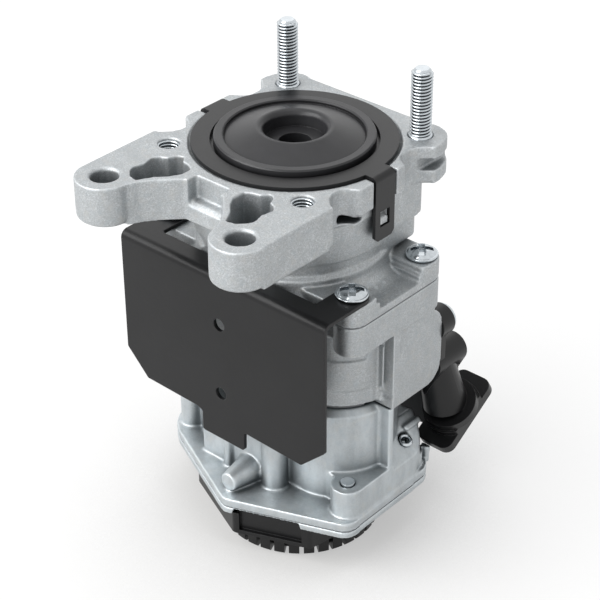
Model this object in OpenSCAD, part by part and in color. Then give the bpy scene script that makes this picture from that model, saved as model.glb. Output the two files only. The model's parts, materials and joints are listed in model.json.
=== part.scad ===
// Foot brake valve with a bolted mounting head, two valve stages, a travel sensor and a silencer.
// Millimetres. Origin on the plunger axis at the mounting face, +Z out of the face, arms towards -Y.

/* [Mounting head] */
// Side of the square on which the studs and the threaded holes stand
stud_pitch = 63; // [60:1:66]
// Stud thread diameter
stud_d = 8; // [8:1:10]
// Stud length above the mounting face
stud_rise = 26; // [18:1:40]
// Distance between the two arm holes
arm_pitch = 63.6; // [60:0.2:70]
// Distance from the plunger axis to the arm holes
arm_reach = 62.5; // [58:0.5:68]
// Diameter of the arm holes
arm_hole_d = 10; // [8:0.5:11]
// Thickness of the arms
arm_t = 16; // [14:0.5:18]
// Thickness of the plate between the arms and studs
plate_t = 14.5; // [13:0.5:15]

/* [Plunger] */
// Diameter of the plunger head
plunger_d = 57.8; // [54:0.2:58]
// Height of the plunger rim above the mounting face
plunger_rise = 2.8; // [2:0.2:5]
// Diameter of the pushrod seat in the plunger
seat_d = 22.4; // [18:0.2:24]
// Full travel of the plunger
plunger_travel = 12; // [8:1:12]

/* [Housings] */
// Half length of the housing body along X
body_half_x = 43.5; // [42:0.5:45]
// Half width of the housing body along Y
body_half_y = 22; // [21:0.5:23]
// Depth of the joint between the head and the middle housing
joint_top_z = -48; // [-49:0.5:-47]
// Depth of the joint between the middle and the lower housing
joint_low_z = -93.5; // [-94:0.5:-93]
// Depth of the top face of the base flange
base_z = -133; // [-134:0.5:-132]
// Bottom of the silencer
foot_z = -156; // [-160:1:-154]
// Diameter of the air port threads' wall
port_d = 14.5; // [12:0.5:16]

/* [Shield] */
// Thickness of the sheet-metal shield
shield_t = 1.5; // [1:0.5:2]
// Distance from the plunger axis to the shield's front face
shield_y = 41; // [40:0.5:43]
// Lowest edge of the shield
shield_low_z = -109.5; // [-112:0.5:-105]

/* [Hidden] */
$fn = 64;
run_clear = 0.08;
gap = 0.3;

stud_r = stud_d / 2;
stud_xy = stud_pitch / 2;
stud_depth = 12;
shank_r = stud_r + 0.4;
shank_rise = 0.2;
tap_r = 3.4;
arm_x = arm_pitch / 2;
arm_tip_r = 10.6;
arm_edge_x = arm_x + arm_tip_r;
lug_x = 41.6;
lug_t = 10.4;
head_back_y = 41.2;
notch_half_x = 8.6;
notch_back_y = -41.8;

ring_recess_r = 38.2;
ring_r = 37.05;
ring_inner_r = 30.2;
ring_top = 0.8;
ring_t = 1.6;
ring_low = ring_top - ring_t;
tab_half_y = 5.2;
tab_x = 41.5;
tab_t = 1.3;
tab_low = -24.6;
roll_r = 2;
window_half_y = 2.5;
window_top = -13.2;
window_low = -19.4;

plunger_r = plunger_d / 2;
crown_r = 25.4;
crown_low = plunger_rise - 1.4;
crown_top = plunger_rise + 2.5;
seat_r = seat_d / 2;
seat_floor = crown_top - 6;
seat_hole_r = 5.9;
flange_r = 33.9;
flange_top = ring_low - 0.4;
flange_low = -5;
seat_z = flange_low - 8;
seat_under = seat_z - 1.2;
hub_r = 16;
chamber_r = flange_r + 0.5;
chamber_floor = flange_low - plunger_travel - 1;
skirt_r = 25.4;
skirt_in_r = 23.2;
skirt_low = -26;
guide_r = skirt_r + run_clear;
guide_floor = -40.5;
throat_r = 17;

drum_top_r = 39.6;
drum_low_r = 37.2;
drum_z = -31;
block_low = drum_z - 7.4;
neck_r = 34.6;
neck_z = drum_z - 5.2;
ridge_r = 36;
flare_r = 42.2;
neck_front = 31;
pad_z = joint_top_z + 8;
web_z = joint_top_z + 2.7;
flange_low_z = joint_top_z - 12.5;
screw_x = body_half_x - 0.3;
screw_y = 19.4;
screw_r = 3;
boss_r = 6.4;
corner_r = body_half_y;
corner_x = body_half_x - corner_r;

piston_bore_r = 18;
piston_r = piston_bore_r - run_clear;
piston_travel = plunger_travel / 4;
piston_groove_r = 16.2;
piston_groove_t = 3.2;
piston_top = joint_top_z - 2;
piston_seat_z = piston_top - 6;
piston_low = joint_top_z - 13;
stage_floor = joint_top_z - 20;
stage_under = stage_floor - 6;
valve_bore_r = 15;
upper_seat_r = 9;
valve_lift = 0.7;
valve_t = 2.7;
upper_disc_z = stage_under - valve_lift - valve_t;
upper_disc_r = 12;
upper_stem_r = 7;
upper_hollow_r = 4.5;
upper_guide_z = joint_low_z + 3.5;

step_top_z = flange_low_z - 11;
step_low_z = step_top_z - 12.5;
seam_z = joint_low_z + 2.5;
box_face_x = body_half_x + 6;
box_back_y = 25;
box_left_y = -3;
box_in_x = 12;
box_top_z = flange_low_z;
box_low_z = joint_low_z + gap;
box_corner_r = 8;
hollow_depth = 3;
hollow_run = 12.4;

relay_top = joint_low_z - 3.5;
relay_low = relay_top - 8;
relay_seat_z = relay_top - 5.6;
relay_travel = plunger_travel / 6;
low_stage_floor = joint_low_z - 18.5;
low_stage_under = low_stage_floor - 4;
low_seat_r = 8;
low_disc_z = low_stage_under - valve_lift - valve_t;
low_disc_r = 11.6;
low_stem_r = 6.4;
low_hollow_r = 4;
low_guide_z = base_z + 2;
cover_top_z = base_z - 4;
base_cover_t = 2.6;
base_right = screw_x + 6.4;
base_left = -screw_x - 4.4;
base_tip_x = 3;
base_tip_y = -45.6;
base_turn = 21.8;
cover_low_z = cover_top_z - base_cover_t;
gasket_t = 0.5;
boss_top_z = base_z + 12;
side_x = box_face_x - 0.9;
shoulder_z = base_z + 9.8;
shoulder_rise = 15;
shoulder_r = 13;
lock_x = side_x - 5.2;
lock_y = 12.8;
lock_head_r = 2.8;
lock_z = shoulder_z + side_x - lock_x;
exhaust_r = 7;

sensor_x = 28.5;
sensor_y = 12;
pin_r = 2;
slot_top = flange_low_z - 3.5;
slot_low = joint_low_z + 3.5;

port_r = port_d / 2;
port_depth = 14;
port_face_x = -body_half_x - 6.5;
port_face_y = 34;
port_x = -14;
supply_z = stage_under - 3;
delivery_z = stage_floor + 3;
low_supply_z = base_z + 12;
low_delivery_z = joint_low_z - 15.5;

cover_y = box_back_y;
cover_t = 6.7;
cover_plate_t = 3.6;
cover_face_y = cover_y + cover_t;
ear_x = box_face_x - 5.1;
ear_z = flange_low_z - 11.5;
ear_r = 6.2;
low_ear_x = 18.6;
low_ear_z = ear_z - 8;
plug_tilt = 32.4;
plug_x = box_face_x - 3;
plug_y = cover_y + 15.8;
plug_z = joint_low_z - 26.5;
plate_x = 16;
plate_y = 32.8;
plate_r = 3.8;
plug_plate_t = 4;
collar_r = 10.8;
collar_low = 6.4;
collar_top = 10;
neck_foot_r = 8.8;
neck_top_r = 6.6;
socket_r = 6.6;
socket_top = collar_top - 0.6;
lobe_x = box_face_x - 6.1;
lobe_z = joint_low_z + 3.7;
lobe_r = 6.2;
lobe_tip = 14;
lobe_reach = 16.4;

shield_x = screw_x + 6;
tab_half_x = 10.4;
shield_bend = 3;
shield_hole_r = 2.6;
shield_hole_z = -58.9;
shield_hole_pitch = 30;

silencer_x = 8.2;
silencer_y = -7.5;
silencer_r = 31;
teeth_z = foot_z + 7;
tooth_count = 34;
tooth_depth = 5;
tooth_gap = 1.7;
floor_t = 3;
flap_z = cover_low_z - 1.6;
flap_t = 1.4;

alloy = [0.73, 0.75, 0.77];
base_alloy = [0.78, 0.81, 0.83];
black_plastic = [0.16, 0.16, 0.17];
plunger_grey = [0.24, 0.24, 0.25];
sheet_black = [0.2, 0.2, 0.2];
zinc = [0.8, 0.84, 0.86];
spring_steel = [0.5, 0.51, 0.53];
rubber_black = [0.1, 0.1, 0.1];
board_green = [0.1, 0.32, 0.2];
brass_yellow = [0.75, 0.6, 0.3];

// Shared forms

// Rounds both the outer and the inner corners of a flat outline
module soften(r) {
    offset(r = r, $fn = 24) offset(r = -2 * r, $fn = 24) offset(r = r, $fn = 24) children();
}

// A cylinder standing on z_low and reaching z_high
module post(r, z_low, z_high) {
    translate([0, 0, z_low]) cylinder(r = r, h = z_high - z_low);
}

// An outline extruded between two levels
module slab(z_low, z_high) {
    translate([0, 0, z_low]) linear_extrude(z_high - z_low) children();
}

// Runs its children once on each side of the plane through the plunger axis and the arms
module both_sides() {
    children();
    mirror([1, 0, 0]) children();
}

module at_corners(x, y) {
    for (sx = [-1, 1]) for (sy = [-1, 1]) translate([sx * x, sy * y, 0]) children();
}

// Straight slot outline with round ends along X
module stadium(half_x, r) {
    for (sx = [-1, 1]) translate([sx * (half_x - r), 0]) circle(r);
    square([2 * (half_x - r), 2 * r], center = true);
}

// Compression spring swept along its wire, the first and last half turns lying flat
module coil(r, wire, z_low, z_high, turns, steps = 16) {
    sides = 8;
    last = turns * steps;
    rise = z_high - z_low - 2 * wire;
    rings = [for (i = [0 : last]) let (
        a = 360 * i / steps,
        climb = max(0, min(1, (i - steps / 2) / (last - steps))),
        z = z_low + wire + rise * climb)
        [for (j = [0 : sides - 1]) let (t = 360 * j / sides, q = r + wire * cos(t))
            [q * cos(a), q * sin(a), z + wire * sin(t)]]];
    walls = [for (i = [0 : last - 1]) for (j = [0 : sides - 1]) let (k = (j + 1) % sides)
        [i * sides + j, i * sides + k, (i + 1) * sides + k, (i + 1) * sides + j]];
    first_cap = [for (j = [sides - 1 : -1 : 0]) j];
    last_cap = [for (j = [0 : sides - 1]) last * sides + j];
    polyhedron([for (ring = rings) each ring], concat(walls, [first_cap, last_cap]));
}

// Pan head with a cross recess, its underside on z = 0
module pan_head(r, h) {
    difference() {
        intersection() {
            cylinder(r = r, h = h);
            translate([0, 0, h - 1.6 * r]) sphere(1.6 * r);
        }
        translate([0, 0, h - 0.55 * h]) cross(r);
    }
}

module cross(r) {
    for (a = [0, 90]) rotate([0, 0, a])
        translate([-0.55 * r, -0.13 * r, 0]) cube([1.1 * r, 0.26 * r, r]);
}

// Mounting head

// Hollow on the plate's side, between a lug and the wider stretch beyond it
module scoop(y_lug, y_far) {
    s = sign(y_far);
    polygon([[45, y_lug], [lug_x, y_lug], [38, y_lug + s * 2], [35.8, y_lug + s * 4.5],
             [35.9, y_far - s * 6.5], [37.2, y_far - s * 3.5], [40.4, y_far - s * 0.4], [45, y_far]]);
}

module arm_outline() {
    translate([arm_x, -arm_reach]) circle(arm_tip_r);
    polygon([[0, -46.5], [notch_half_x, -46.5], [11.8, -49.7], [16, -54], [19, -58],
             [arm_x - arm_tip_r, -arm_reach], [arm_edge_x, -arm_reach], [arm_edge_x, -20], [0, -20]]);
}

module plate_outline() {
    soften(1.4) difference() {
        union() {
            both_sides() {
                arm_outline();
                translate([stud_xy, stud_xy]) circle(head_back_y - stud_xy);
                translate([0, -28]) square([lug_x, 28 + stud_xy]);
            }
            translate([-stud_xy, 0]) square([stud_pitch, head_back_y - 1.2]);
        }
        both_sides() {
            scoop(-13.2, -28);
            scoop(10.6, 27);
        }
    }
}

// Pocket in an arm, ribbed where the wall thickens
module arm_pocket() {
    soften(0.7) polygon([[28.5, -52], [27.3, -47.6], [28.3, -43], [26.8, -40.8], [24, -39.6], [22.7, -36.4],
                         [20.4, -35.2], [18.2, -38], [15, -38.6], [12.4, -40.2], [12.4, -45], [14.6, -48.8],
                         [18.2, -52.6], [21.2, -58], [24.8, -57], [27.4, -54.6]]);
}

module flange_outline() {
    stadium(body_half_x, corner_r);
    for (sx = [-1, 1]) translate([sx * screw_x, 0]) {
        for (sy = [-1, 1]) translate([0, sy * screw_y]) circle(boss_r);
        square([2 * boss_r, 2 * screw_y], center = true);
    }
    square([2 * screw_x, 2 * screw_y], center = true);
}

// Waist under the drum with its ridge and the flare to the flange, cut flat in front of the shield
module neck() {
    post(neck_r, neck_z, drum_z + 1);
    intersection() {
        rotate_extrude() polygon([[0, neck_z + 1], [neck_r, neck_z + 1], [neck_r, neck_z], [ridge_r,
            neck_z - 1.4],
            [ridge_r, neck_z - 4.2], [ridge_r + 0.8, neck_z - 6.2], [ridge_r + 2.6, web_z + 1.1],
                [flare_r, web_z],
            [flare_r, joint_top_z], [0, joint_top_z]]);
        translate([-50, -neck_front, -50]) cube([100, 2 * neck_front, 20]);
    }
}

module arms() {
    both_sides() {
        difference() {
            slab(-arm_t, 0) arm_outline();
            slab(-arm_t - 1, 1) translate([-1, -30]) square([60, 30]);
            translate([arm_x, -arm_reach, -arm_t]) tip_round();
        }
    }
}

// Cutter that rounds the lower edge of an arm's end
module tip_round() {
    difference() {
        translate([-20, -20, -1]) cube([40, 20, 4]);
        rotate_extrude() {
            translate([arm_tip_r - 3, 3]) circle(3);
            translate([0, -1]) square([arm_tip_r - 3, 5]);
        }
        post(arm_tip_r - 3, -2, 3);
    }
}

// Screw pads on the upper flange, reaching back to the neck
module pads() {
    for (sx = [-1, 1]) for (sy = [-1, 1]) scale([sx, sy, 1]) {
        slab(joint_top_z, pad_z) {
            translate([screw_x, screw_y]) circle(boss_r);
            polygon([[22, 12.6], [box_face_x - boss_r + 5.8, 12.6], [screw_x + boss_r, 15],
                     [screw_x + boss_r, screw_y], [screw_x, screw_y + boss_r], [22, screw_y + boss_r]]);
        }
        slab(joint_top_z, -42.8) translate([34, 11]) square([box_face_x - 34.4, 4]);
    }
}

// Catch that snaps into the window of a ring tab
module catch() {
    rotate([90, 0, 0]) translate([0, 0, -2.1]) linear_extrude(4.2)
        polygon([[37, -13.6], [41.2, -16.6], [41.2, -19.1], [37, -19.1]]);
}

module head_solid() {
    slab(-plate_t, 0) plate_outline();
    arms();
    translate([0, 0, drum_z]) cylinder(r1 = drum_low_r, r2 = drum_top_r, h = -lug_t - drum_z);
    slab(drum_z + 2, -plate_t + 1) soften(5) translate([-35.5, -8]) square([71, 39.5]);
    slab(block_low, drum_z + 3) soften(5) translate([-33.9, -4]) square([67.8, 33.9]);
    neck();
    slab(joint_top_z, web_z) flange_outline();
    pads();
    both_sides() catch();
}

module mounting_head() {
    color(alloy) difference() {
        head_solid();
        // Bores from the mounting face down
        post(ring_recess_r, ring_low, 1);
        post(chamber_r, chamber_floor, 1);
        post(guide_r, guide_floor, chamber_floor + 1);
        post(throat_r, joint_top_z - 1, guide_floor + 1);
        translate([sensor_x, sensor_y, 0]) post(pin_r + run_clear, joint_top_z - 1, chamber_floor + 1);
        both_sides() {
            // Way for the ring tab, over the edge and down the side
            translate([33, -tab_half_y - 1, ring_low]) cube([12, 2 * tab_half_y + 2, 5]);
            translate([tab_x - roll_r - gap, -tab_half_y - 1, ring_top - roll_r - gap])
                cube([9, 2 * tab_half_y + 2, roll_r + 1]);
            translate([tab_x - tab_t - gap, -tab_half_y - 1, -plate_t - 1]) cube([9,
                2 * tab_half_y + 2, plate_t + 2]);
            // Lugs are thinner than the plate
            translate([39.7, -15, -plate_t - 1]) cube([5, 30, plate_t + 1 - lug_t]);
            // Blind slot in the hollow of the plate's side
            side_slot();
            // Groove round the stud corner
            translate([36.9, 22.4, -9.4]) cube([9, 25, 4.6]);
            translate([stud_xy, stud_xy, 0]) post(shank_r + 0.05, -stud_depth, 1);
            translate([stud_xy, -stud_xy, 0]) {
                post(tap_r, -plate_t - 2, 1);
                post_chamfer(tap_r, 0.8);
            }
            translate([arm_x, -arm_reach, 0]) {
                post(arm_hole_d / 2, -arm_t - 1, 1);
                post_chamfer(arm_hole_d / 2, 0.8);
            }
            slab(-13.5, 1) arm_pocket();
        }
        web_notch();
        at_corners(screw_x, screw_y) post(screw_r + 0.05, joint_top_z - 1, pad_z + 1);
    }
}

// Countersink of a hole that opens in the mounting face
module post_chamfer(r, c) {
    translate([0, 0, -c]) cylinder(r1 = r, r2 = r + c + 0.2, h = c + 0.2);
}

module side_slot() {
    hull() {
        translate([31, -17.2, -lug_t - 1.4]) rotate([0, 90, 0]) cylinder(r = 1.6, h = 11, $fn = 32);
        translate([31, -10.2, -lug_t - 2.8]) rotate([0, 90, 0]) cylinder(r = 0.6, h = 11, $fn = 32);
    }
}

// Recess in the front of the web between the arms, its floor falling outwards
module web_notch() {
    rotate([90, 0, 90]) translate([0, 0, -notch_half_x + 0.8]) linear_extrude(2 * notch_half_x - 1.6)
        polygon([[notch_back_y, 1], [notch_back_y, -8.4], [-44.4, -8.8], [-50, -12.6], [-50, 1]]);
}

module mounting_studs() {
    color(zinc) for (sx = [-1, 1]) translate([sx * stud_xy, stud_xy, 0]) {
        post(shank_r, -stud_depth, shank_rise);
        translate([0, 0, shank_rise]) cylinder(r1 = shank_r, r2 = stud_r, h = shank_r - stud_r);
        post(stud_r, shank_rise, stud_rise - 1);
        translate([0, 0, stud_rise - 1]) cylinder(r1 = stud_r, r2 = stud_r - 1, h = 1);
    }
}

module ring_tab() {
    translate([0, -tab_half_y, 0]) {
        translate([33, 0, ring_low]) cube([tab_x - 33 - roll_r, 2 * tab_half_y, ring_t]);
        translate([tab_x - tab_t, 0, tab_low]) cube([tab_t, 2 * tab_half_y, ring_top - roll_r - tab_low]);
    }
    // Rolled edge
    translate([tab_x - roll_r, tab_half_y, ring_top - roll_r]) rotate([90, 0, 0])
        intersection() {
            cylinder(r = roll_r, h = 2 * tab_half_y);
            cube([roll_r + 1, roll_r + 1, 2 * tab_half_y]);
        }
}

module retaining_ring() {
    color(black_plastic) difference() {
        union() {
            post(ring_r, ring_low, ring_top);
            both_sides() ring_tab();
        }
        post(ring_inner_r, ring_low - 1, ring_top + 1);
        both_sides() {
            translate([30, -window_half_y, window_low])
                cube([20, 2 * window_half_y, window_top - window_low]);
            // Lower corners of the tab
            for (s = [-1, 1]) translate([tab_x, s * tab_half_y, tab_low])
                rotate([45, 0, 0]) cube([6, 2.2, 2.2], center = true);
        }
    }
}

// Plunger and its springs

module plunger() {
    lip = 2.2;
    lip_x = seat_r + lip;
    lip_z = crown_top - lip;
    slope = atan((crown_top - crown_low) / (crown_r - lip_x));
    color(plunger_grey) difference() {
        rotate_extrude() {
            // Half section, from the hub's foot round the skirt, the flange and the rim to the crown
            polygon([[0, seat_z], [hub_r, seat_z], [hub_r, flange_low - 3], [skirt_in_r, flange_low - 3],
                     [skirt_in_r, skirt_low], [skirt_r, skirt_low], [skirt_r, flange_low],
                     [flange_r, flange_low], [flange_r, flange_top], [plunger_r, flange_top],
                     [plunger_r, plunger_rise - 0.5], [plunger_r - 0.5, plunger_rise],
                     [crown_r + 0.5, plunger_rise], [crown_r, plunger_rise - 0.4], [crown_r, crown_low],
                     [lip_x + lip * sin(slope), lip_z + lip * cos(slope)], [lip_x, lip_z], [0, lip_z]]);
            translate([lip_x, lip_z]) circle(lip);
        }
        post(seat_r, seat_floor, crown_top + 1);
        post(seat_hole_r, seat_z - 1, seat_floor + 1);
    }
}

module spring_seat() {
    color(zinc) rotate_extrude()
        polygon([[6.5, seat_z], [15.2, seat_z], [15.2, seat_under], [10.6, seat_under],
                 [10.6, seat_z - 5], [9.4, seat_z - 5], [9.4, seat_under - 0.2],
                 [6.5, seat_under - 0.2]]);
}

module plunger_spring() {
    color(spring_steel) coil(20.7, 1.3, guide_floor, flange_low - 3, 5);
}

module control_spring() {
    color(spring_steel) coil(12.8, 1.5, piston_seat_z, seat_under, 7);
}

module upper_piston() {
    groove_z = piston_top - 4.4;
    color(alloy) rotate_extrude() polygon([[upper_hollow_r, piston_seat_z], [15.5, piston_seat_z],
        [15.5, piston_top], [piston_r, piston_top], [piston_r, groove_z], [piston_groove_r, groove_z],
        [piston_groove_r, groove_z - piston_groove_t], [piston_r, groove_z - piston_groove_t],
        [piston_r, piston_low], [6.8, piston_low], [6.8, stage_under - 0.4], [upper_hollow_r,
            stage_under - 0.4]]);
}

module upper_piston_seal() {
    color(rubber_black) ring_seal(piston_top - 4.4);
}

// Seal ring between a piston groove and the bore
module ring_seal(groove_z) {
    inner_r = piston_groove_r + 0.05;
    z_high = groove_z - gap;
    z_low = groove_z - piston_groove_t + gap;
    rotate_extrude() polygon([[inner_r, z_low], [piston_bore_r - 0.02, z_low + 0.4],
                              [piston_bore_r - 0.02, z_high - 0.4], [inner_r, z_high]]);
}

// Middle housing

module head_gasket() {
    color(rubber_black) difference() {
        slab(joint_top_z - gasket_t, joint_top_z) offset(delta = -0.4) flange_outline();
        post(piston_bore_r, joint_top_z - 2, joint_top_z + 1);
        at_corners(screw_x, screw_y) post(screw_r + 0.4, joint_top_z - 2, joint_top_z + 1);
        translate([sensor_x, sensor_y, 0]) post(pin_r + 0.4, joint_top_z - 2, joint_top_z + 1);
    }
}

module port_boss(r, face) {
    rotate([0, -90, 0]) cylinder(r = r, h = -face);
}

// Threaded port: hole, mouth chamfer and a passage of its own radius to the bore
module port_cut(face, passage_r, reach) {
    translate([face, 0, 0]) rotate([0, 90, 0]) rotate_extrude()
        polygon([[0, -1], [port_r + 2, -1], [port_r + 2, 0], [port_r + 1, 0], [port_r, 1], [port_r,
            port_depth],
                 [passage_r, port_depth + 2], [passage_r, reach - face], [0, reach - face]]);
}

module sensor_box() {
    rotate([90, 0, 90]) translate([0, 0, box_in_x]) linear_extrude(box_face_x - box_in_x)
        intersection() {
            translate([box_left_y, box_low_z]) square([box_back_y - box_left_y, box_top_z - box_low_z + 1]);
            union() {
                offset(r = box_corner_r) offset(r = -box_corner_r)
                    translate([box_left_y - 20, box_low_z])
                        square([box_back_y - box_left_y + 20, box_top_z - box_low_z]);
                translate([box_left_y, box_top_z - 3]) square([12, 4]);
            }
        }
}

module middle_solid() {
    // Flange and the three steps of the body
    slab(flange_low_z, joint_top_z - gasket_t) flange_outline();
    slab(step_top_z, flange_low_z) stadium(body_half_x - 0.8, corner_r - 0.8);
    slab(step_low_z, step_top_z) stadium(body_half_x + 0.2, corner_r + 0.2);
    slab(seam_z, step_low_z) stadium(body_half_x - 0.3, corner_r - 0.3);
    sensor_box();
    // Pilaster and web beside the sensor box
    translate([36, -8.4, step_low_z]) cube([10.2, 4.2, 18]);
    translate([36, -6.6, seam_z]) cube([8.6, 4, 30]);
    translate([0, 0, supply_z]) port_boss(13, port_face_x);
    translate([port_x, 0, delivery_z]) rotate([0, 0, -90]) port_boss(12, -port_face_y);
}

module middle_housing() {
    color(alloy) difference() {
        middle_solid();
        post(piston_bore_r, stage_floor, joint_top_z + 1);
        post(upper_seat_r, stage_under - 1, stage_floor + 1);
        post(valve_bore_r, joint_low_z - 5, stage_under);
        translate([0, 0, supply_z]) port_cut(port_face_x, 3, -valve_bore_r + 1);
        translate([port_x, 0, delivery_z]) rotate([0, 0, -90]) port_cut(-port_face_y, 2.5, -10);
        at_corners(screw_x, screw_y) post(screw_r + 0.05, -58, joint_top_z + 1);
        // Sensor slot, open towards the cover
        translate([24, 6.5, slot_low]) cube([16, 30, slot_top - slot_low]);
        translate([sensor_x, sensor_y, 0]) post(pin_r + run_clear, slot_top - 1, joint_top_z + 1);
        for (p = cover_screw_places()) cover_hole(p);
        // Hollow under the flange, running out along the box and falling outwards
        translate([box_face_x, box_left_y + 3.8, 0]) rotate([0, 0, -atan(hollow_depth / hollow_run)])
            rotate([90, 0, 0]) translate([0, 0, -hollow_run - 1]) linear_extrude(hollow_run + 1)
                polygon([[-hollow_depth, box_top_z - 0.4], [5, box_top_z - 0.4], [5, box_top_z - 8],
                         [0, box_top_z - 5.4], [-hollow_depth, box_top_z - 2.4]]);
        // Core mark
        translate([43.9, -4.6, -88]) rotate([0, 90, 0]) cylinder(r = 2, h = 8);
    }
}

// Places of the cover screws as X and Z
function cover_screw_places() = [[ear_x, ear_z], [low_ear_x, low_ear_z]];

module cover_hole(p) {
    translate([p[0], cover_y + 1, p[1]]) rotate([90, 0, 0]) cylinder(r = 2.05, h = 10);
}

module flange_screws() {
    color(zinc) at_corners(screw_x, screw_y) post(screw_r, -57, pad_z + 0.6);
    color(zinc) for (sx = [-1, 1]) {
        translate([sx * screw_x, screw_y, pad_z]) pan_head(6, 3.4);
        translate([sx * screw_x, -screw_y, pad_z + shield_t]) pan_head(6, 3.4);
        translate([sx * screw_x, -screw_y, 0]) post(screw_r, pad_z - 1, pad_z + shield_t + 0.6);
    }
}

// Black sheet shield

module shield_face() {
    edge = shield_low_z + 8.3;
    soften(0.9) polygon([[-shield_x, -35], [shield_x, -35], [shield_x, edge + 9.4], [38.4, edge - 0.8],
                         [tab_half_x + 0.2, edge], [tab_half_x, shield_low_z], [-tab_half_x, shield_low_z],
                         [-tab_half_x, edge + 0.2], [-tab_half_x - 2.6, edge + 1.2], [-39, edge + 1.8],
                         [-shield_x, edge + 12]]);
}

module shield() {
    top = pad_z + shield_t;
    roll_z = top - shield_bend;
    color(sheet_black) difference() {
        union() {
            intersection() {
                translate([0, -shield_y + shield_t, 0])
                    rotate([90, 0, 0]) linear_extrude(shield_t) shield_face();
                translate([-2 * shield_x, -2 * shield_y, shield_low_z - 1])
                    cube([4 * shield_x, 2 * shield_y, roll_z - shield_low_z + 1]);
            }
            // Quarter roll between the face and the top
            translate([-shield_x, -shield_y + shield_bend, roll_z]) rotate([0, 90, 0]) difference() {
                cylinder(r = shield_bend, h = 2 * shield_x);
                translate([0, 0, -1]) cylinder(r = shield_bend - shield_t, h = 2 * shield_x + 2);
                translate([-10, 0, -1]) cube([20, 10, 2 * shield_x + 2]);
                translate([0, -10, -1]) cube([10, 20, 2 * shield_x + 2]);
            }
            slab(pad_z, top) shield_top();
        }
        at_corners(screw_x, screw_y) post(screw_r + 0.2, pad_z - 1, top + 1);
        // Two holes on the centre line of the face
        for (i = [0, 1]) translate([-0.5, 0, shield_hole_z - i * shield_hole_pitch])
            rotate([90, 0, 0]) cylinder(r = shield_hole_r, h = 2 * shield_y);
    }
}

// Top of the shield: a strip along the bend and a foot under each front screw
module shield_top() {
    difference() {
        translate([-shield_x, -shield_y + shield_bend]) square([2 * shield_x, 7]);
        translate([-36.5, -31.6]) square([73, 5]);
    }
    for (sx = [-1, 1]) translate([sx * screw_x, -screw_y]) {
        circle(6);
        translate([-6, -13]) square([12, 13]);
    }
}

// Upper valve

module valve_body(disc_r, stem_r, hollow_r, z_top, z_disc, z_low) {
    rotate_extrude() polygon([[hollow_r, z_top], [disc_r, z_top], [disc_r, z_disc],
                              [stem_r, z_disc], [stem_r, z_low], [hollow_r, z_low]]);
}

module valve_guide(stem_r, z_high, z_low) {
    rotate_extrude() polygon([[stem_r + run_clear, z_low], [valve_bore_r - 0.05, z_low],
        [valve_bore_r - 0.05, z_high], [stem_r + 1.6, z_high], [stem_r + 1.6, z_high + 2],
        [stem_r + run_clear, z_high + 2]]);
}

module upper_valve() {
    color(rubber_black) valve_body(upper_disc_r, upper_stem_r, upper_hollow_r,
        stage_under - valve_lift, upper_disc_z, upper_guide_z - 1);
}

module upper_valve_guide() {
    color(alloy) valve_guide(upper_stem_r, upper_guide_z, joint_low_z);
}

module upper_valve_spring() {
    color(spring_steel) coil(10.6, 0.7, upper_guide_z, upper_disc_z, 4, 14);
}

// Lower housing

module seam_gasket() {
    color(rubber_black) difference() {
        slab(joint_low_z, seam_z) stadium(body_half_x - 3, corner_r - 3);
        post(valve_bore_r + 0.2, joint_low_z - 1, seam_z + 1);
        translate([box_in_x - gap, box_left_y - gap, joint_low_z - 1]) cube([40, 40, 5]);
        translate([36 - gap, -6.6 - gap, joint_low_z - 1]) cube([20, 10, 5]);
    }
}

module base_outline() {
    offset(r = 6) offset(delta = -6)
        polygon([[base_tip_x, base_tip_y], [base_right, -27], [base_right - 0.7, 18.4],
            [base_right - 3, 23],
                 [base_right - 8.2, 25.8], [base_left + 4.6, 25.5], [base_left, 16], [base_left, -17.4],
                 [base_left + 3.2, -22], [base_left + 8, -25.8]]);
}

// Body with its upper edge bevelled
module lower_body() {
    slab(base_z - 1, joint_low_z - 2.5) stadium(body_half_x, corner_r);
    for (sx = [-1, 1]) translate([sx * corner_x, 0, joint_low_z - 2.5])
        cylinder(r1 = corner_r, r2 = corner_r - 2.5, h = 2.5);
    rotate([90, 0, 90]) translate([0, 0, -corner_x]) linear_extrude(2 * corner_x)
        polygon([[-corner_r, joint_low_z - 2.5], [corner_r, joint_low_z - 2.5],
                 [corner_r - 2.5, joint_low_z], [-corner_r + 2.5, joint_low_z]]);
}

// Front of the lower casting: wall, round rib, core mark and tapered stub
module lower_front() {
    slab(base_z - 1, joint_low_z - 10.5) soften(1.5) translate([-24, -28.4]) square([32, 20]);
    translate([11.5, -25.6, 0]) post(5, base_z - 1, joint_low_z - 10.5);
    translate([-9.4, -28, 0]) post(2.4, base_z - 1, joint_low_z - 18.5);
    translate([1.6, -27, base_z + 4.2]) rotate([90, 0, 0]) cylinder(r1 = 6.2, r2 = 3.6, h = 14);
}

// Right side of the lower casting: rib, pocket floor and back shelf
module lower_side() {
    translate([30, box_left_y, shoulder_z]) cube([side_x - 30.2, 2.6, joint_low_z - gap - shoulder_z]);
    translate([30, -screw_y, base_z - 1]) cube([side_x - 30, screw_y, boss_top_z - base_z + 1]);
    // Shoulder that falls outwards, with a short bar across it
    intersection() {
        slab(base_z - 1, shoulder_z + shoulder_rise)
            offset(r = shoulder_r) offset(delta = -shoulder_r) translate([-40,
                -40]) square([40 + side_x, 64]);
        translate([0, 26, 0]) rotate([90, 0, 0]) linear_extrude(28)
            polygon([[20, base_z - 1], [side_x, base_z - 1], [side_x, shoulder_z],
                     [side_x - shoulder_rise, shoulder_z + shoulder_rise], [20,
                         shoulder_z + shoulder_rise]]);
    }
    translate([lock_x - 2.4, lock_y + 1.6, lock_z + 1.6]) rotate([0, 45, 0])
        translate([-1.5, 0, -1.5]) cube([2.4, 9.4, 3.2]);
    translate([side_x - 4.9, 25.4, 0]) post(1.9, base_z - 2, base_z + 5.2);
}

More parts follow.
